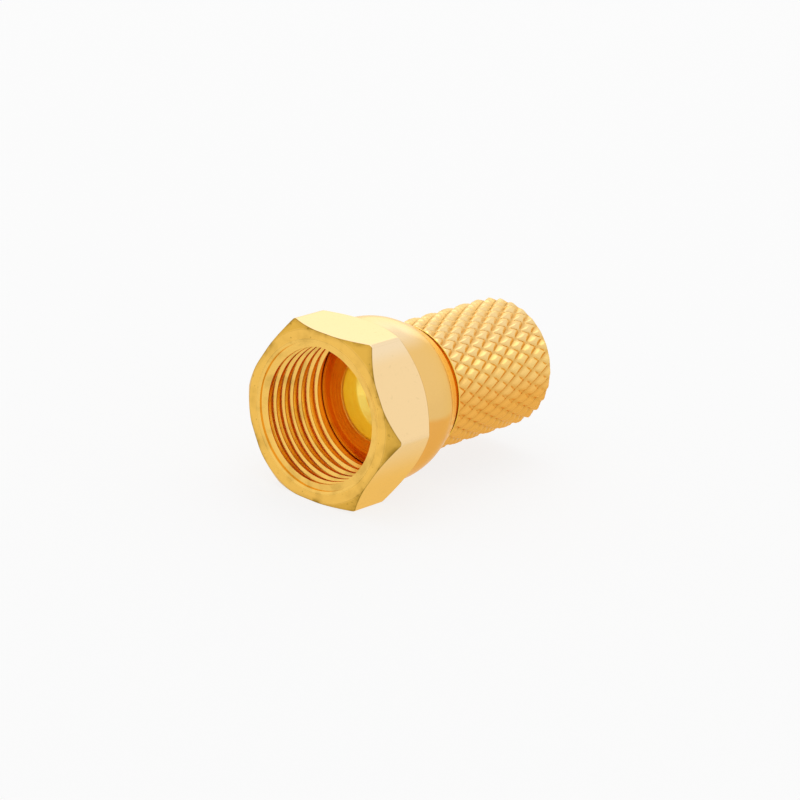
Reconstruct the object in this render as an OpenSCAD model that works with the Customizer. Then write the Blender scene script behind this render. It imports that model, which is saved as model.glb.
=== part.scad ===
// Twist-on coaxial plug of the F series: a threaded coupling nut turning on the
// neck of a one-piece knurled cable sleeve. Millimetres, +Z up. The plug lies on
// one flat of the nut with its axis along Y: it mates towards -Y and the cable
// leaves towards +Y. The origin is under the middle of its length, on the surface.

/* [Coupling nut] */
// Width across the flats of the nut
across_flats = 11; // [10.6:0.1:11.4]
// Radius that the corners of the hexagon are turned to
corner_r = 6.3; // [6.2:0.01:6.32]
// Outer radius of the flat ring on the mating face
face_r = 5.57; // [5.52:0.01:5.6]
// Height of the turned chamfer on the front corners
front_chamfer = 0.74; // [0.5:0.02:0.9]
// Length of the nut from mating face to rolled rear rim
nut_l = 8.5; // [8.3:0.05:8.6]
// Distance from the mating face to the end of the flats
hex_l = 4.3; // [4.1:0.05:4.5]
// Outer radius of the round skirt behind the flats
skirt_r = 5.38; // [5.3:0.01:5.45]
// Where the skirt starts to curve in
roll_start = 5.3; // [4.9:0.05:5.5]

/* [Coupling thread] */
// Wall radius of the coupling thread, measured on its crests
thread_r = 4.33; // [4.28:0.01:4.38]
// Radius of the countersink at the mouth
mouth_r = 4.93; // [4.85:0.01:5]
// Distance from the mating face to the end of the thread
thread_end = 5.3; // [5:0.05:5.4]
// Pitch of the coupling thread, 32 to the inch
thread_pitch = 0.79375; // [0.75:0.00125:0.85]

/* [Neck and flange] */
// Distance from the mating face of the nut to the contact face of the flange
contact_depth = 5.9; // [5.8:0.05:6]
// Radius of the flange
flange_r = 4.62; // [4.5:0.01:4.64]
// Thickness of the flange
flange_t = 1.15; // [1:0.05:1.2]
// Radius of the neck that the nut turns on
neck_r = 3.87; // [3.8:0.01:3.9]
// Radial running clearance between the neck and the nut
running_gap = 0.08; // [0.05:0.01:0.1]
// Radius of the hole that the cable's insulated core passes through
core_r = 2.7; // [2.5:0.05:2.8]

/* [Knurled barrel] */
// Whole length of the plug
plug_l = 18.75; // [18.5:0.05:19]
// Distance from the mating face to the front of the barrel
barrel_start = 8.95; // [8.85:0.05:9.05]
// Radius over the points of the knurl
crest_r = 4.28; // [4.2:0.01:4.35]
// Depth of the knurl's grooves
groove_depth = 0.35; // [0.2:0.01:0.4]
// Number of grooves round the barrel in each of the two directions
knurl_starts = 28; // [24:1:32]
// Number of half diamonds along the barrel
knurl_rows = 11; // [10:1:12]
// Wall radius of the cable bore, measured on the crests of its coarse thread
cable_r = 3.2; // [3:0.05:3.3]
// Radius at the bottom of the coarse thread that bites the cable's jacket
cable_root_r = 3.55; // [3.3:0.05:3.6]
// Pitch of the coarse thread
cable_pitch = 1.5; // [1.2:0.1:1.8]

/* [Hidden] */
$fn = 96;
slack = 0.1;                           // how far a cutting shape runs past a face
axis_z = across_flats / 2;             // height of the axis above the surface

mouth_l = mouth_r - thread_r;          // 45 degree countersink
relief_r = flange_r + 0.1;             // counterbore that holds the flange
relief_l = 0.25;                       // run-out from the thread to the counterbore
roll_end = [4.87, 7.5];                // radius and depth where the curve meets the rim
rim = [[4.5, nut_l - 0.15], [4.32, nut_l]];
roll_steps = 8;
roll_drop = skirt_r - roll_end[0];
roll_run = roll_end[1] - roll_start;
roll_r = (pow(roll_run, 2) + pow(roll_drop, 2)) / (2 * roll_drop);
roll_angle = asin(roll_run / roll_r);
groove_start = mouth_l + 0.05;         // first groove of the coupling thread
groove_shape = [0.25, 0.47, 0.73];     // flank, root and flank, in pitches from a groove's front
seat_l = contact_depth + flange_t + 0.1;  // depth of the shoulder behind the flange
seat_cone_l = 0.45;
neck_hole_r = neck_r + running_gap;

edge = 0.1;                            // small broken edges
core_mouth_r = core_r + 0.28;          // funnel in the contact face
core_mouth_l = 0.5;
core_l = 2.0;                          // thickness of the sleeve's front wall
cavity_cone_l = 0.3;                   // drill point between core hole and cable bore
cable_mouth = 0.5;                     // 45 degree lead-in at the rear
cable_groove_start = contact_depth + core_l + cavity_cone_l + 0.3;
cable_groove_shape = [0.35, 0.5, 0.8];
root_r = crest_r - groove_depth;
knurl_cols = 2 * knurl_starts;
knurl_front = barrel_start + 0.15;
knurl_back = plug_l - 0.14;
end_r = root_r + 0.12;                 // the barrel's ends are turned down to this

// Lays a shape that was built along +Z, front face at zero, along the plug's axis
module along_axis() {
    translate([0, -plug_l / 2, axis_z]) rotate([-90, 0, 0]) children();
}

// Points of the rolled curve from the straight skirt to the rim
function roll_points() = [
    for (i = [0 : roll_steps])
        let (a = roll_angle * i / roll_steps)
            [skirt_r - roll_r * (1 - cos(a)), roll_start + roll_r * sin(a)]
];

// Outline of a threaded wall from front to back, each turn of the thread cut as a ring
function thread_points(start, end, pitch, crest, root, shape) = [
    for (i = [0 : floor((end - start) / pitch + 1 - shape[2]) - 1])
        let (front = start + i * pitch)
            each [
                [crest, front],
                [root, front + pitch * shape[0]],
                [root, front + pitch * shape[1]],
                [crest, front + pitch * shape[2]],
            ]
];

// Everything that the lathe leaves of the nut's outside
module nut_envelope() {
    rear_cone = corner_r - skirt_r;
    rotate_extrude() polygon(concat(
        [
            [0, 0],
            [face_r, 0],
            [corner_r, front_chamfer],
            [corner_r, hex_l + 0.06 - rear_cone],
            [skirt_r, hex_l + 0.06],
        ],
        roll_points(),
        rim,
        [[0, nut_l]]
    ));
}

// The inside of the nut: countersink, thread, counterbore, shoulder, neck hole
module nut_inside() {
    rotate_extrude() polygon(concat(
        [
            [0, -slack],
            [mouth_r + slack, -slack],
            [thread_r, mouth_l],
        ],
        thread_points(groove_start, thread_end, thread_pitch, thread_r, relief_r, groove_shape),
        [
            [thread_r, thread_end],
            [relief_r, thread_end + relief_l],
            [relief_r, seat_l],
            [neck_hole_r, seat_l + seat_cone_l],
            [neck_hole_r, nut_l + slack],
            [0, nut_l + slack],
        ]
    ));
}

module coupling_nut() {
    color("gold") along_axis() difference() {
        intersection() {
            union() {
                cylinder(h = hex_l, r = axis_z / cos(30), $fn = 6);
                translate([0, 0, hex_l]) cylinder(h = nut_l - hex_l, r = corner_r + 1);
            }
            nut_envelope();
        }
        nut_inside();
    }
}

// Radius of the knurl at one point of its grid: diamond tips and groove crossings take turns
function knurl_radius(col, row) = (col + row) % 2 == 0 ? crest_r : root_r;

// One ring of points round the axis
function ring(r, z) = [
    for (c = [0 : knurl_cols - 1])
        let (a = 360 * c / knurl_cols) [r * cos(a), r * sin(a), z]
];

// A knurled row of points round the axis
function knurl_ring(row) = [
    for (c = [0 : knurl_cols - 1])
        let (a = 360 * c / knurl_cols, r = knurl_radius(c, row))
            [r * cos(a), r * sin(a), knurl_front + (knurl_back - knurl_front) * row / knurl_rows]
];

// Two triangles between neighbouring columns, split along the groove
function knurl_cell(band, c) =
    let (
        n = knurl_cols,
        d = (c + 1) % n,
        a = band * n + c,
        b = band * n + d,
        e = a + n,
        f = b + n
    )
    (c + band) % 2 == 0 ? [[a, e, f], [a, f, b]] : [[a, e, b], [b, e, f]];

// The barrel as one closed solid with raised diamonds
module knurl() {
    rows = [for (row = [0 : knurl_rows]) each knurl_ring(row)];
    bands = knurl_rows + 2;
    polyhedron(
        points = concat(ring(end_r, barrel_start), rows, ring(end_r, plug_l)),
        faces = concat(
            [[for (c = [0 : knurl_cols - 1]) c]],
            [for (b = [0 : bands - 1], c = [0 : knurl_cols - 1]) each knurl_cell(b, c)],
            [[for (c = [knurl_cols - 1 : -1 : 0]) bands * knurl_cols + c]]
        ),
        convexity = 6
    );
}

// Flange and neck in front of the barrel
module flange_and_neck() {
    back = contact_depth + flange_t;
    rotate_extrude() polygon([
        [0, contact_depth],
        [flange_r - edge, contact_depth],
        [flange_r, contact_depth + edge],
        [flange_r, back],
        [neck_r, back],
        [neck_r, barrel_start + slack],
        [0, barrel_start + slack],
    ]);
}

// The passage through the sleeve: core hole in front, threaded cable bore behind
module sleeve_inside() {
    cavity = contact_depth + core_l;
    bore_end = plug_l - cable_mouth;
    rotate_extrude() polygon(concat(
        [
            [0, contact_depth - slack],
            [core_mouth_r + slack * 0.56, contact_depth - slack],
            [core_r, contact_depth + core_mouth_l],
            [core_r, cavity],
            [cable_r, cavity + cavity_cone_l],
        ],
        thread_points(
            cable_groove_start, bore_end, cable_pitch, cable_r, cable_root_r, cable_groove_shape
        ),
        [
            [cable_r, bore_end],
            [cable_r + cable_mouth + slack, plug_l + slack],
            [0, plug_l + slack],
        ]
    ));
}

module knurled_sleeve() {
    color("goldenrod") along_axis() difference() {
        union() {
            flange_and_neck();
            knurl();
        }
        sleeve_inside();
    }
}

coupling_nut();
knurled_sleeve();
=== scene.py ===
import math

import bmesh
import bpy
from mathutils import Matrix, Vector


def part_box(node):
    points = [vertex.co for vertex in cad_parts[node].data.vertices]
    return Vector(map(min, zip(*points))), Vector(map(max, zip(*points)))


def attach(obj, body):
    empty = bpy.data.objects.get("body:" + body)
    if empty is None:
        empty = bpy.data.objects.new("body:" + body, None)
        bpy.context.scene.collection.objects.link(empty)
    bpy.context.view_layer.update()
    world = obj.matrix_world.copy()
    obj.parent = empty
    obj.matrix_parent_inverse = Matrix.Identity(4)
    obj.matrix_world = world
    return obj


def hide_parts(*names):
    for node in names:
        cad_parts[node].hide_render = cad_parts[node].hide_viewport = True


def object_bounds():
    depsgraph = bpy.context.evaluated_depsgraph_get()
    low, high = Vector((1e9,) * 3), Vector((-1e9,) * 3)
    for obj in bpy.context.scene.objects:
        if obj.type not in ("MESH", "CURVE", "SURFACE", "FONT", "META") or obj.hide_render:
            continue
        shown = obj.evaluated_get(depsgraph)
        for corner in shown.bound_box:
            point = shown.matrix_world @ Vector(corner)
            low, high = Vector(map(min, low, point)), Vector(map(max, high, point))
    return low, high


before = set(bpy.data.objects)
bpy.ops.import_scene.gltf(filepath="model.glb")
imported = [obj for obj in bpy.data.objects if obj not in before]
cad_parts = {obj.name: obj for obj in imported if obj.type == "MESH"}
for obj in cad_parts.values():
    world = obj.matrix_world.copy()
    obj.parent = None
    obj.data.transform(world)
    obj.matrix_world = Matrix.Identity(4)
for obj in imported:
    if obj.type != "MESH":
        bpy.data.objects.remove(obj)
cadLow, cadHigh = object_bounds()
nutLow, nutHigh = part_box("coupling_nut")
sleeveLow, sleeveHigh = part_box("knurled_sleeve")

# All shapes are made in millimetres along +Z, mating face at zero, and laid along Y at the end.
mm = 0.001
edgeTint = (1.0, 0.84, 0.55, 1)    # colour of the plating at grazing angles
crispAngle = math.radians(32)      # sharper edges than this are shaded as edges
samePoint = 0.0005                 # points closer than this are one, millimetres
plugLength = (cadHigh.y - cadLow.y) / mm
flatRadius = (nutHigh.z - nutLow.z) / 2 / mm
cornerRadius = (nutHigh.x - nutLow.x) / 2 / mm
nutLength = (nutHigh.y - nutLow.y) / mm
contactDepth = (sleeveLow.y - nutLow.y) / mm
flangeRadius = (sleeveHigh.x - sleeveLow.x) / 2 / mm
axisPoint = Vector((0, cadLow.y, nutLow.z + flatRadius * mm))
layDown = Matrix.Rotation(math.radians(-90), 4, "X")
layAlongAxis = Matrix.Translation(axisPoint) @ layDown @ Matrix.Scale(mm, 4)


def evenSteps(start, end, count):
    return [start + (end - start) * i / count for i in range(count)]


def polyline(corners, spacing):
    # points every `spacing` along straight runs between (radius, depth) corners
    points = []
    for (r0, z0), (r1, z1) in zip(corners, corners[1:]):
        count = max(1, math.ceil(math.hypot(r1 - r0, z1 - z0) / spacing))
        points += list(zip(evenSteps(r0, r1, count), evenSteps(z0, z1, count)))
    return points + [corners[-1]]


def spinWall(points, columns, climb=0.0, sectors=8):
    # one sector is spun, then copied round; with a climb the rows rise like a thread's
    wall = bmesh.new()
    verts = [wall.verts.new((r, 0, z)) for r, z in points]
    edges = [wall.edges.new(pair) for pair in zip(verts, verts[1:])]
    bmesh.ops.spin(
        wall, geom=verts + edges, axis=(0, 0, 1), cent=(0, 0, 0),
        dvec=(0, 0, climb / columns), angle=math.tau / sectors, steps=columns // sectors,
    )
    sector = wall.verts[:] + wall.edges[:] + wall.faces[:]
    for i in range(1, sectors):
        copied = bmesh.ops.duplicate(wall, geom=sector)["geom"]
        verts = [g for g in copied if isinstance(g, bmesh.types.BMVert)]
        turn = Matrix.Rotation(math.tau * i / sectors, 3, "Z")
        bmesh.ops.rotate(wall, cent=(0, 0, 0), matrix=turn, verts=verts)
        bmesh.ops.translate(wall, vec=(0, 0, climb * i / sectors), verts=verts)
    bmesh.ops.remove_doubles(wall, verts=wall.verts, dist=samePoint)
    return wall


def within(z, low, high, snap=0.01):
    # a depth held between two limits, and drawn on to a limit that is very near
    return low if z < low + snap else high if z > high - snap else z


def reshape(wall, rule, weld=0.002):
    # rule(angle, depth) gives each point its radius and depth
    for vert in wall.verts:
        x, y, z = vert.co
        angle = math.atan2(y, x)
        radius, depth = rule(angle % math.tau, z)
        vert.co = (radius * math.cos(angle), radius * math.sin(angle), depth)
    bmesh.ops.remove_doubles(wall, verts=wall.verts, dist=weld)
    return wall


def soften(mesh, rounds):
    # rounds every edge a little, and leaves the open ends where they are
    inside = [v for v in mesh.verts if not v.is_boundary]
    for _ in range(rounds):
        bmesh.ops.smooth_vert(
            mesh, verts=inside, factor=0.5, use_axis_x=True, use_axis_y=True, use_axis_z=True,
        )


def joinWall(mesh, wall):
    data = bpy.data.meshes.new("wall")
    wall.to_mesh(data)
    wall.free()
    mesh.from_mesh(data)
    bpy.data.meshes.remove(data)


def closeRing(mesh, depth, reach=0.003):
    # fills the flat ring between the two open loops at one depth
    edges = [
        e for e in mesh.edges
        if e.is_boundary and all(abs(v.co.z - depth) < reach for v in e.verts)
    ]
    bmesh.ops.triangle_fill(mesh, edges=edges, use_beauty=True, use_dissolve=False, normal=(0, 0, 1))


def threadRadius(phase, crest, root, shape):
    # radius of a cut thread over one pitch: flat crest, straight flank, flat root, straight flank
    phase = phase % 1
    crestEnd, rootStart, rootEnd = shape
    if phase < crestEnd:
        return crest
    if phase < rootStart:
        return crest + (root - crest) * (phase - crestEnd) / (rootStart - crestEnd)
    if phase < rootEnd:
        return root
    return root + (crest - root) * (phase - rootEnd) / (1 - rootEnd)


def threadRows(shape, start, end, pitch, corner=0.035):
    # row depths for the helix: both sides of every corner of the profile
    marks = []
    for spot in (0, *shape):
        marks += [spot - corner, spot, spot + corner]
    marks += [shape[0] / 2, (shape[0] + shape[1]) / 2, (shape[1] + shape[2]) / 2, (shape[2] + 1) / 2]
    marks = sorted({round(m % 1, 4) for m in marks})
    turns = math.ceil((end - start) / pitch) + 1
    return [start + (turn - 1 + m) * pitch for turn in range(turns + 1) for m in marks]


def finishPiece(mesh, name, material, body, node):
    bmesh.ops.remove_doubles(mesh, verts=mesh.verts, dist=samePoint)
    bmesh.ops.recalc_face_normals(mesh, faces=mesh.faces)
    bmesh.ops.transform(mesh, matrix=layAlongAxis, verts=mesh.verts)
    for face in mesh.faces:
        face.smooth = True
    for edge in mesh.edges:
        edge.smooth = edge.calc_face_angle(0) < crispAngle
    data = bpy.data.meshes.new(name)
    mesh.to_mesh(data)
    openEdges = sum(1 for e in mesh.edges if not e.is_manifold)
    triangles = sum(len(f.verts) - 2 for f in mesh.faces)
    mesh.free()
    piece = bpy.data.objects.new(name, data)
    bpy.context.scene.collection.objects.link(piece)
    data.materials.append(material)
    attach(piece, body)
    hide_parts(node)
    print(name, "made:", triangles, "triangles,", openEdges, "open edges")
    return piece


class Wire:
    # one socket of a shader tree, with arithmetic
    def __init__(self, finish, socket):
        self.finish = finish
        self.socket = socket

    def math(self, operation, *values):
        return self.finish.node("ShaderNodeMath", {"operation": operation}, [self, *values])

    def __add__(self, other):
        return self.math("ADD", other)

    __radd__ = __add__

    def __sub__(self, other):
        return self.math("SUBTRACT", other)

    def __rsub__(self, other):
        return self.finish.node("ShaderNodeMath", {"operation": "SUBTRACT"}, [other, self])

    def __mul__(self, other):
        return self.math("MULTIPLY", other)

    __rmul__ = __mul__

    def __pow__(self, other):
        return self.math("POWER", other)


class Finish:
    # a metal whose patterns follow the plug, in millimetres: depth is from the mating face, rho from
    # the axis and z up from the axis
    def __init__(self, name):
        self.material = bpy.data.materials.new(name)
        self.material.use_nodes = True
        self.tree = self.material.node_tree
        self.shader = self.tree.nodes["Principled BSDF"]
        where = self.node("ShaderNodeTexCoord", output=3)
        self.place = self.node(
            "ShaderNodeVectorMath", {"operation": "MULTIPLY_ADD"},
            [where, (1 / mm, 1 / mm, 1 / mm), (0, -cadLow.y / mm, -axisPoint.z / mm)],
        )
        x, self.depth, self.z = (
            self.node("ShaderNodeSeparateXYZ", inputs=[self.place], output=i) for i in range(3)
        )
        self.rho = (x * x + self.z * self.z) ** 0.5

    def node(self, kind, settings=None, inputs=None, output=0):
        made = self.tree.nodes.new(kind)
        for key, value in (settings or {}).items():
            setattr(made, key, value)
        pairs = inputs.items() if isinstance(inputs, dict) else enumerate(inputs or [])
        for key, value in pairs:
            if isinstance(value, Wire):
                self.tree.links.new(value.socket, made.inputs[key])
            else:
                made.inputs[key].default_value = value
        return Wire(self, made.outputs[output])

    def mixColour(self, factor, first, second):
        return self.node("ShaderNodeMix", {"data_type": "RGBA"}, {0: factor, 6: first, 7: second}, output=2)

    def smoothStep(self, value, low, high):
        return self.node(
            "ShaderNodeMapRange", {"interpolation_type": "SMOOTHSTEP"},
            {0: value, 1: low, 2: high, 3: 0.0, 4: 1.0},
        )

    def band(self, value, low, high, soft):
        start = self.smoothStep(value, low - soft, low + soft)
        return start * (1 - self.smoothStep(value, high - soft, high + soft))

    def noise(self, scale, detail):
        # scale is in features per millimetre
        return self.node(
            "ShaderNodeTexNoise", {"noise_dimensions": "3D"},
            {"Vector": self.place, "Scale": scale, "Detail": detail, "Roughness": 0.5},
        )

    def rings(self, value, scale):
        # uneven lines across the value, like the marks of a turning tool
        return self.node(
            "ShaderNodeTexNoise", {"noise_dimensions": "1D"},
            {"W": value, "Scale": scale, "Detail": 2.0, "Roughness": 0.6},
        )

    def attribute(self, name):
        return self.node("ShaderNodeAttribute", {"attribute_name": name}, output=2)

    def relief(self, height):
        # height is in millimetres
        bump = {"Strength": 1.0, "Distance": mm, "Height": height}
        self.set("Normal", self.node("ShaderNodeBump", inputs=bump))

    def set(self, name, value):
        socket = self.shader.inputs[name]
        if isinstance(value, Wire):
            self.tree.links.new(value.socket, socket)
        else:
            socket.default_value = value


nut = {
    "faceRadius": 5.57,        # outside of the flat ring on the mating face
    "frontChamfer": 0.74,
    "hexLength": 4.3,
    "coneRun": 0.06,           # how far the cone behind the corners ends behind the flats
    "skirtRadius": 5.38,
    "rollStart": 5.3,
    "rollEnd": (4.87, 7.5),    # radius and depth
    "rollSteps": 16,
    "rimRadius": 4.5,
    "rimInner": 4.32,
    "rimChamfer": 0.15,
    "ringStart": 5.0,          # radius where the outline starts on the mating face,
    "fineStart": 5.3,          # where its points get close together,
    "rimEnd": 4.05,            # and where it ends on the rear face
    "brokenEdge": 0.05,
    "neckHole": 3.95,
    "mouthRadius": 4.93,
    "recessRadius": 4.76,      # shallow recess that the thread starts from
    "recessDepth": 0.2,
    "recessWall": 0.12,
    "crestRadius": 4.33,
    "threadEnd": 5.3,
    "grooveRadius": 4.72,
    "reliefRadius": 4.65,      # counterbore behind the thread, close round the flange
    "reliefRun": 0.25,
    "seatDepth": 7.15,
    "seatCone": 0.45,
    "pitch": 25.4 / 32,
    "threadShape": (0.43, 0.71, 0.72),    # ends of crest, first flank and root, in pitches
    "outerColumns": 480,
    "innerColumns": 192,
    "innerSpacing": 0.2,
    "edgeSmoothing": 3,
    "nearEdge": 0.2,           # how far from an edge the points are close together
    "fine": 0.045,             # and their spacing there
    "roughness": 0.2,
    "skirtZone": (3.6, 3.7),   # depths between which the front's gold gives way to the skirt's
    "lowShadeZone": (-3.4, 0.2),    # heights from the axis between which the painted shade on the lower flats gives way
    "highlightZone": (4.2, 5.2),    # and between which the painted highlight on top takes over
    "turned": (0.93, 0.55, 0.11, 1),
    "chamfer": (0.76, 0.44, 0.07, 1),
    # paler than the turned gold: painted highlight on every flat
    "flats": (0.92, 0.665, 0.35, 1),
    # deeper gold on the lower flats: painted shade with a painted warm reflection of the floor
    "lowFlatShade": (0.93, 0.56, 0.14, 1),
    # paler gold on the top flat and the skirt's top: painted highlight
    "topHighlight": (0.92, 0.72, 0.46, 1),
    "skirt": (0.84, 0.53, 0.18, 1),
    # paler gold on the rolled lip: painted highlight
    "lip": (0.92, 0.72, 0.42, 1),
    # deep orange low on the skirt and knurl: painted reflection of warm light from below
    "paintedGlow": (0.84, 0.34, 0.03, 1),
    "thread": (1.0, 0.61, 0.14, 1),
    # dark tarnished colour, also used for the painted shade where the skirt meets the lip
    "tarnishAndShade": (0.34, 0.19, 0.02, 1),
}


def rolledCurve(spec):
    # an arc that leaves the straight skirt smoothly and turns in to the rim
    count = spec["rollSteps"]
    endRadius, endDepth = spec["rollEnd"]
    drop, run = spec["skirtRadius"] - endRadius, endDepth - spec["rollStart"]
    radius = (run * run + drop * drop) / (2 * drop)
    sweep = math.asin(run / radius)
    return [
        (spec["skirtRadius"] - radius * (1 - math.cos(sweep * i / count)),
         spec["rollStart"] + radius * math.sin(sweep * i / count))
        for i in range(count + 1)
    ]


def nutGold(spec):
    # "cut" is how deep the flats cut into the lathe's shape, negative where they don't reach
    finish = Finish("nutGold")
    depth, rho, z, cut = finish.depth, finish.rho, finish.z, finish.attribute("cut")
    mouth, face, lipStart = spec["mouthRadius"], spec["faceRadius"], spec["rollEnd"][1]
    flat = finish.smoothStep(cut, -0.015, 0.015)
    outside = finish.smoothStep(rho, mouth - 0.03, mouth + 0.05)
    skirt = finish.smoothStep(depth, *spec["skirtZone"]) * (1 - flat)
    turned = outside * (1 - flat) * (1 - skirt)
    # the rolled lip, made paler as a painted highlight
    lip = finish.smoothStep(depth, lipStart - 0.02, lipStart + 0.02)
    # lipLine: painted shade along the crease where the skirt meets the lip, also pressed in as a groove
    lipLine = finish.band(depth, lipStart - 0.12, lipStart, 0.03)
    # low: where the painted shade of the lower flats is laid
    low = 1 - finish.smoothStep(z, *spec["lowShadeZone"])
    # high: where the painted highlight on top is laid
    high = finish.smoothStep(z, *spec["highlightZone"])

    # plating of the nut's parts; painted highlights on flats, lip and top, painted shade below, a painted
    # warm reflection low on the skirt
    flats = finish.mixColour(low, spec["flats"], spec["lowFlatShade"])
    flats = finish.mixColour(high, flats, spec["topHighlight"])
    # painted reflection: deeper orange towards the bottom of the skirt, mottled by noise
    paintedGlow = finish.smoothStep(finish.noise(0.35, 2.0) * 0.3 - z * 0.25, 0.0, 0.14)
    rear = finish.mixColour(high, spec["skirt"], spec["topHighlight"])
    rear = finish.mixColour(lip, rear, spec["lip"])
    rear = finish.mixColour(paintedGlow * (1 - lip) * 0.6, rear, spec["paintedGlow"])
    front = finish.mixColour(finish.smoothStep(depth, 0.02, 0.06), spec["turned"], spec["chamfer"])
    base = finish.mixColour(skirt, front, rear)
    base = finish.mixColour(flat, base, flats)
    base = finish.mixColour(outside, spec["thread"], base)

    # tarnished clouds and pits on the turned front, a dark border and line along the flats' edges, painted
    # shade where the skirt meets the lip
    cloud = finish.smoothStep(finish.noise(0.9, 4.0), 0.45, 0.7)
    pits = finish.smoothStep(finish.noise(3.2, 1.0), 0.69, 0.73)
    border = finish.smoothStep(cut, -0.35, 0.0) * (1 - flat) * (0.25 + cloud * 0.5) * (1 - skirt)
    line = finish.band(cut, -0.05, 0.03, 0.02) * outside
    seam = finish.band(rho, face - 0.04, face + 0.02, 0.02) * turned
    stainAndShade = seam * 0.25 + cloud * turned * 0.2 + border + pits * (turned * 0.4 + flat * 0.06)
    stainAndShade = stainAndShade + line * 0.45 + lipLine * outside * 0.5
    finish.set("Base Color", finish.mixColour(stainAndShade, base, spec["tarnishAndShade"]))
    finish.set("Metallic", 1.0)
    finish.set("Specular Tint", edgeTint)
    finish.set("Roughness", spec["roughness"] + turned * 0.08 - flat * 0.06 + cloud * 0.05)
    marks = finish.rings(rho, 7.0) * turned * 0.008
    finish.relief(marks + finish.noise(0.8, 1.0) * 0.012 - lipLine * 0.03)
    return finish.material


def nutOutline(spec):
    # the lathe's shape, with points close together wherever an edge will form
    skirt, near, fine = spec["skirtRadius"], spec["nearEdge"], spec["fine"]
    chamferEnd = spec["frontChamfer"]
    hexEnd = spec["hexLength"] + spec["coneRun"]
    coneStart = hexEnd - (cornerRadius - skirt)
    runs = [
        polyline([(spec["ringStart"], 0), (spec["fineStart"], 0)], 0.15),
        polyline([
            (spec["fineStart"], 0), (spec["faceRadius"], 0),
            (cornerRadius, chamferEnd), (cornerRadius, chamferEnd + near),
        ], fine),
        polyline([(cornerRadius, chamferEnd + near), (cornerRadius, coneStart - near)], 0.3),
        polyline([
            (cornerRadius, coneStart - near), (cornerRadius, coneStart),
            (skirt, hexEnd), (skirt, hexEnd + near),
        ], fine),
        polyline([(skirt, hexEnd + near), (skirt, spec["rollStart"])], 0.2),
        rolledCurve(spec),
        polyline([
            spec["rollEnd"], (spec["rimRadius"], nutLength - spec["rimChamfer"]),
            (spec["rimInner"], nutLength), (spec["rimEnd"], nutLength),
        ], fine),
    ]
    return [point for run in runs for point in run[:-1]] + [runs[-1][-1]]


def makeNut(spec):
    # outside: the six flats cut the lathe's shape back, then every edge is softened
    mesh = spinWall(nutOutline(spec), spec["outerColumns"], sectors=24)
    cut = mesh.verts.layers.float.new("cut")
    behindHex, nearCorner = spec["hexLength"] + 0.5, cornerRadius - 0.02
    for vert in mesh.verts:
        x, y, z = vert.co
        radius, angle = math.hypot(x, y), math.atan2(y, x)
        limit = flatRadius / math.cos(angle % (math.pi / 3) - math.pi / 6)
        vert[cut] = radius - limit if z < behindHex else -1
        if vert[cut] > 0:
            vert.co = (limit * math.cos(angle), limit * math.sin(angle), z)
        elif radius > nearCorner:
            vert[cut] = 0.05    # the strip left on a corner is coloured as the flats are
    soften(mesh, spec["edgeSmoothing"])

    # inside: the thread climbs as a helix from the recess to the counterbore
    pitch, shape = spec["pitch"], spec["threadShape"]
    crest, groove, relief = spec["crestRadius"], spec["grooveRadius"], spec["reliefRadius"]
    start, end = spec["recessDepth"], spec["threadEnd"] + spec["reliefRun"]

    def threadRule(angle, z):
        depth = within(z, start, end)
        cut = threadRadius(depth / pitch - angle / math.tau, crest, groove, shape)
        runOut = crest + (relief - crest) * min((depth - spec["threadEnd"]) / spec["reliefRun"], 1)
        if depth > spec["threadEnd"]:
            cut = min(cut, relief)
        return max(cut, runOut), depth

    rows = [(1, z) for z in threadRows(shape, start, end, pitch)]
    joinWall(mesh, reshape(spinWall(rows, spec["innerColumns"], climb=pitch), threadRule))
    recess = spec["recessRadius"]
    mouth = [(spec["mouthRadius"], 0), (recess, start - spec["recessWall"]), (recess, start)]
    joinWall(mesh, spinWall(mouth, spec["innerColumns"]))

    # counterbore, shoulder and neck hole
    hole, edge = spec["neckHole"], spec["brokenEdge"]
    joinWall(mesh, spinWall(polyline([
        (relief, end), (relief, spec["seatDepth"]), (hole, spec["seatDepth"] + spec["seatCone"]),
        (hole, nutLength - edge), (hole + edge, nutLength),
    ], spec["innerSpacing"]), spec["innerColumns"]))
    closeRing(mesh, 0)
    closeRing(mesh, start)
    closeRing(mesh, nutLength)
    return finishPiece(mesh, "couplingNut", nutGold(spec), "nut", "coupling_nut")


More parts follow.
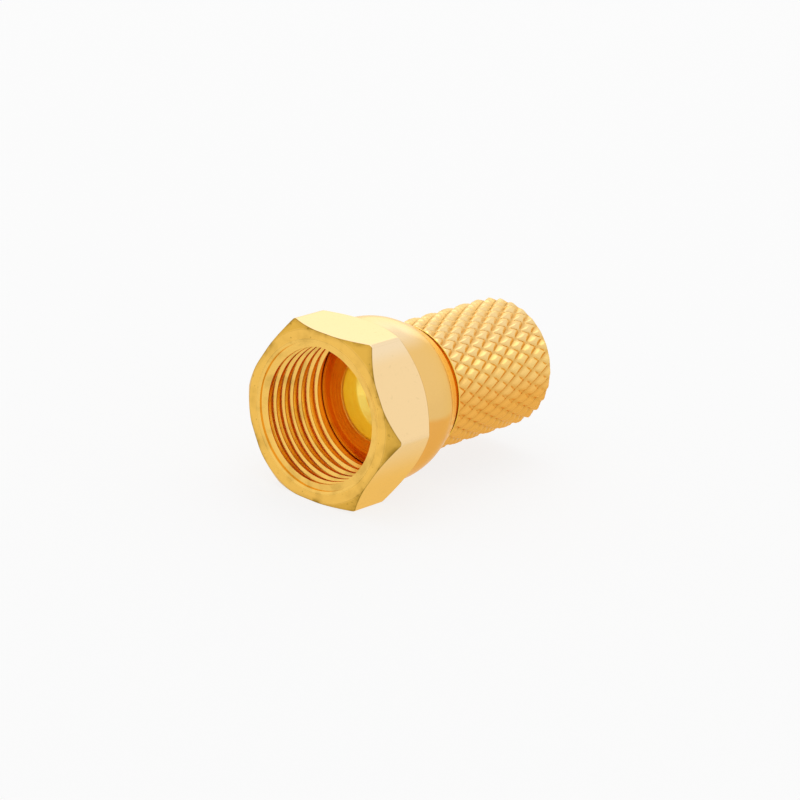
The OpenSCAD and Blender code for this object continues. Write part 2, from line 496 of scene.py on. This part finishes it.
sleeve = {
    "columns": 192,
    "spacing": 0.1,
    "brokenEdge": 0.05,
    "flangeThickness": 1.15,
    "neckRadius": 3.87,
    "barrelStart": 8.95,
    "crestRadius": 4.28,
    "grooveDepth": 0.27,
    "firstWidth": 0.95,        # share of a half diamond that each cut's flank takes up
    "secondWidth": 0.8,
    "secondDepth": 0.85,       # depth of the second cut, as a share of the first
    "tipHeight": 0.8,          # the tips are flattened here, as a share of a sharp diamond
    "knurlSmoothing": 1,
    "knurlStarts": 28,
    "knurlRows": 11,
    "frontBand": 0.15,
    "backBand": 0.14,
    "collarRadius": 4.2,       # plain front edge that the knurl starts from
    "collarSlope": 1.5,
    "backRadius": 4.02,
    "backSlope": 0.9,
    "cellSteps": 8,
    "coreRadius": 2.7,
    "coreMouth": 2.98,
    "coreMouthDepth": 1.2,
    "coreEdge": (0.06, 0.08),  # width and depth of the broken edge round the core hole
    "wall": 2.0,
    "cavityCone": 0.3,
    "cableCrest": 3.2,
    "cableRoot": 3.55,
    "cablePitch": 1.5,
    "cableMouth": 0.5,
    "clearBore": 0.6,          # stretch behind the front wall that the thread doesn't reach
    "cableShape": (0.1, 0.25, 0.85),
    "roughness": 0.2,
    "highlightZone": (1.5, 4.0),    # heights from the axis between which the painted highlight on top takes over
    "knurl": (0.92, 0.62, 0.21, 1),
    # paler gold on the knurl's top: painted highlight
    "knurlTopHighlight": (0.92, 0.68, 0.36, 1),
    # darker gold in the grooves: painted shade
    "grooveShade": (0.66, 0.32, 0.05, 1),
    # deeper gold on the barrel's front face: painted shade of the gap behind the nut's lip
    "frontFaceShade": (0.90, 0.58, 0.07, 1),
    # deep orange low on the knurl: painted reflection of warm light from below
    "paintedGlow": (0.82, 0.33, 0.02, 1),
    "flange": (0.86, 0.38, 0.035, 1),
    # paler gold in the passage: painted light that brightens the bore
    "passage": (1.0, 0.87, 0.40, 1),
}


def knurlHeight(column, row, spec):
    # 0 at the bottom of the first cut, 1 on a flattened tip; the second cut is the shallower one
    first = abs((column + row) % 2 - 1) / spec["firstWidth"]
    second = abs((column - row) % 2 - 1) / spec["secondWidth"]
    return min(first, 1 - spec["secondDepth"] * (1 - min(second, 1)), spec["tipHeight"]) / spec["tipHeight"]


def sleeveGold(spec):
    finish = Finish("sleeveGold")
    depth, rho, z = finish.depth, finish.rho, finish.z
    mouth, neck = spec["coreMouth"], spec["neckRadius"]
    crest, front = spec["crestRadius"], spec["barrelStart"]
    face = 1 - finish.smoothStep(depth, contactDepth + 0.02, contactDepth + 0.06)
    inner = 1 - finish.smoothStep(rho, neck - 0.17, neck - 0.09)
    passage = inner * (1 - face * finish.smoothStep(rho, mouth, mouth + 0.04))
    barrel = finish.smoothStep(depth, front - 0.05, front - 0.02)

    # painted light on the knurl: deeper gold below (painted reflection), in its grooves and on its front
    # face (painted shade), paler on top (painted highlight)
    low = finish.smoothStep(finish.noise(0.35, 2.0) * 0.6 - z * 0.2, -0.1, 0.5)
    high = finish.smoothStep(z, *spec["highlightZone"])
    grooveShade = 1 - finish.smoothStep(rho, crest - spec["grooveDepth"], crest - 0.1)
    frontFaceShade = 1 - finish.smoothStep(depth, front + 0.04, front + 0.1)
    knurl = finish.mixColour(low * 0.7, spec["knurl"], spec["paintedGlow"])
    knurl = finish.mixColour(high * 0.6, knurl, spec["knurlTopHighlight"])
    knurl = finish.mixColour(grooveShade * 0.6, knurl, spec["grooveShade"])
    knurl = finish.mixColour(frontFaceShade, knurl, spec["frontFaceShade"])
    base = finish.mixColour(barrel, spec["flange"], knurl)
    # the passage gets paler gold, painted light that brightens the bore
    finish.set("Base Color", finish.mixColour(passage, base, spec["passage"]))
    finish.set("Metallic", 1.0)
    finish.set("Specular Tint", edgeTint)
    finish.set("Roughness", spec["roughness"] + finish.noise(1.5, 3.0) * 0.08 - passage * 0.06)
    marks = finish.rings(rho, 7.0) * face * 0.02 + finish.rings(depth, 5.0) * passage * 0.004
    finish.relief(marks + finish.noise(1.2, 1.0) * 0.01)
    return finish.material


def makeSleeve(spec):
    # barrel: a tube whose grid follows the grooves, raised into diamonds
    steps, starts, rows = spec["cellSteps"], spec["knurlStarts"], spec["knurlRows"]
    front, back = spec["barrelStart"] + spec["frontBand"], plugLength - spec["backBand"]
    root = spec["crestRadius"] - spec["grooveDepth"]

    def knurlRule(angle, z):
        row = (z - front) / (back - front) * rows
        radius = root + spec["grooveDepth"] * knurlHeight(angle / math.tau * 2 * starts, row, spec)
        collar = spec["collarRadius"] - max(0, z - front) * spec["collarSlope"]
        backEdge = spec["backRadius"] + (plugLength - z) * spec["backSlope"]
        return min(max(radius if z > front else 0, collar), backEdge), z

    depths = [front + (back - front) * i / (rows * steps) for i in range(rows * steps + 1)]
    depths = [spec["barrelStart"], spec["barrelStart"] + 0.05, *depths, plugLength]
    mesh = reshape(spinWall([(1, z) for z in depths], 2 * starts * steps, sectors=2 * starts), knurlRule)
    soften(mesh, spec["knurlSmoothing"])

    # flange and neck
    flangeBack = contactDepth + spec["flangeThickness"]
    mouth, neck, edge = spec["coreMouth"], spec["neckRadius"], spec["brokenEdge"]
    joinWall(mesh, spinWall(polyline([
        (mouth, contactDepth), (flangeRadius - edge, contactDepth), (flangeRadius, contactDepth + edge),
        (flangeRadius, flangeBack), (neck, flangeBack), (neck, spec["barrelStart"]),
    ], spec["spacing"]), spec["columns"]))
    closeRing(mesh, spec["barrelStart"])

    # passage: core hole, drill point, coarse cable thread, lead-in
    wallEnd = contactDepth + spec["wall"]
    boreStart = wallEnd + spec["cavityCone"]
    core, cableRoot = spec["coreRadius"], spec["cableRoot"]
    edgeWidth, edgeDepth = spec["coreEdge"]
    joinWall(mesh, spinWall(polyline([
        (mouth, contactDepth), (mouth - edgeWidth, contactDepth + edgeDepth),
        (core, contactDepth + spec["coreMouthDepth"]), (core, wallEnd), (cableRoot, boreStart),
    ], spec["spacing"]), spec["columns"]))
    pitch, shape, crest = spec["cablePitch"], spec["cableShape"], spec["cableCrest"]

    def cableRule(angle, z):
        depth = within(z, boreStart, plugLength)
        if depth < boreStart + spec["clearBore"]:
            return cableRoot, depth
        cut = threadRadius((depth - boreStart) / pitch - angle / math.tau, crest, cableRoot, shape)
        return max(cut, crest + spec["cableMouth"] - (plugLength - depth)), depth

    helix = [(1, z) for z in threadRows(shape, boreStart, plugLength, pitch)]
    joinWall(mesh, reshape(spinWall(helix, spec["columns"], climb=pitch), cableRule))
    closeRing(mesh, plugLength)
    return finishPiece(mesh, "knurledSleeve", sleeveGold(spec), "sleeve", "knurled_sleeve")


view = {
    "azimuth": 37.56,
    "elevation": 19.52,
    "roll": 6.2,
    "distance": 220.4,          # from the target, millimetres
    "target": (-0.352, -0.636, 4.684),
    "lens": 154.8,
    "sensor": 36,
    "clip": (0.01, 10),         # metres
}


studio = {
    "floorHalf": 1.5,           # metres
    "paper": (0.9, 0.9, 0.9, 1),
    "paperRoughness": 0.8,
    "whitening": 0.8,           # how far the floor is lifted to white where it is seen
    "worldStrength": 0.8,
    "bounces": 24,
    "glossyBounces": 16,        # enough reflections to light the plug's inside
    "lamps": {                  # place and size in millimetres, then brightness above the world's
        "rearLeft": ((-171, 225, 105), (220, 160), 0.35),
        "overhead": ((-40, 40, 260), (200, 200), 0.6),
    },
}


def makeCamera(spec):
    data = bpy.data.cameras.new("camera")
    data.lens, data.sensor_width = spec["lens"], spec["sensor"]
    data.clip_start, data.clip_end = spec["clip"]
    camera = bpy.data.objects.new("camera", data)
    bpy.context.scene.collection.objects.link(camera)
    around, above = math.radians(spec["azimuth"]), math.radians(spec["elevation"])
    level = math.cos(above)
    back = Vector((math.sin(around) * level, -math.cos(around) * level, math.sin(above)))
    camera.location = (Vector(spec["target"]) + back * spec["distance"]) * mm
    turn = (-back).to_track_quat("-Z", "Y").to_matrix().to_4x4()
    camera.rotation_euler = (turn @ Matrix.Rotation(math.radians(spec["roll"]), 4, "Z")).to_euler()
    bpy.context.scene.camera = camera


def seenDirectly(tree):
    # 1 for rays from the camera, off metal or through glass, 0 for light on its way to a surface
    path = tree.nodes.new("ShaderNodeLightPath")
    total = path.outputs["Is Camera Ray"]
    for name in ("Is Glossy Ray", "Is Transmission Ray"):
        larger = tree.nodes.new("ShaderNodeMath")
        larger.operation = "MAXIMUM"
        tree.links.new(total, larger.inputs[0])
        tree.links.new(path.outputs[name], larger.inputs[1])
        total = larger.outputs[0]
    return total


def makeFloor(spec):
    mesh = bmesh.new()
    bmesh.ops.create_grid(mesh, x_segments=1, y_segments=1, size=spec["floorHalf"])
    data = bpy.data.meshes.new("floor")
    mesh.to_mesh(data)
    mesh.free()
    floor = bpy.data.objects.new("floor", data)
    floor.location.z = cadLow.z
    bpy.context.scene.collection.objects.link(floor)
    paper = bpy.data.materials.new("floorPaper")
    paper.use_nodes = True
    nodes, links = paper.node_tree.nodes, paper.node_tree.links
    shader = nodes["Principled BSDF"]
    shader.inputs["Base Color"].default_value = spec["paper"]
    shader.inputs["Roughness"].default_value = spec["paperRoughness"]
    white = nodes.new("ShaderNodeEmission")
    mixed = nodes.new("ShaderNodeMixShader")
    share = nodes.new("ShaderNodeMath")
    share.operation = "MULTIPLY"
    share.inputs[1].default_value = spec["whitening"]
    links.new(seenDirectly(paper.node_tree), share.inputs[0])
    links.new(share.outputs[0], mixed.inputs[0])
    links.new(shader.outputs[0], mixed.inputs[1])
    links.new(white.outputs[0], mixed.inputs[2])
    links.new(mixed.outputs[0], nodes["Material Output"].inputs["Surface"])
    data.materials.append(paper)


def makeWorld(spec):
    world = bpy.data.worlds.new("studio")
    bpy.context.scene.world = world
    world.use_nodes = True
    tree = world.node_tree
    soft = tree.nodes["Background"]
    soft.inputs["Color"].default_value = (1, 1, 1, 1)
    soft.inputs["Strength"].default_value = spec["worldStrength"]
    white = tree.nodes.new("ShaderNodeBackground")
    white.inputs["Color"].default_value = (1, 1, 1, 1)
    mixed = tree.nodes.new("ShaderNodeMixShader")
    tree.links.new(seenDirectly(tree), mixed.inputs[0])
    tree.links.new(soft.outputs[0], mixed.inputs[1])
    tree.links.new(white.outputs[0], mixed.inputs[2])
    tree.links.new(mixed.outputs[0], tree.nodes["World Output"].inputs["Surface"])


def makeLamp(name, place, size, brightness):
    data = bpy.data.lights.new(name, "AREA")
    data.shape, data.size, data.size_y = "RECTANGLE", size[0] * mm, size[1] * mm
    data.energy = brightness * math.pi * data.size * data.size_y
    lamp = bpy.data.objects.new(name, data)
    bpy.context.scene.collection.objects.link(lamp)
    lamp.location = Vector(place) * mm
    direction = axisPoint - lamp.location
    lamp.rotation_euler = direction.to_track_quat("-Z", "Y").to_euler()


makeNut(nut)
makeSleeve(sleeve)
makeCamera(view)
print("camera set")
makeFloor(studio)
makeWorld(studio)
for lampName, lampSpec in studio["lamps"].items():
    makeLamp(lampName, *lampSpec)
print("studio made:", len(studio["lamps"]), "lamps")
bpy.context.scene.view_settings.view_transform = "Standard"
bpy.context.scene.cycles.max_bounces = studio["bounces"]
bpy.context.scene.cycles.glossy_bounces = studio["glossyBounces"]
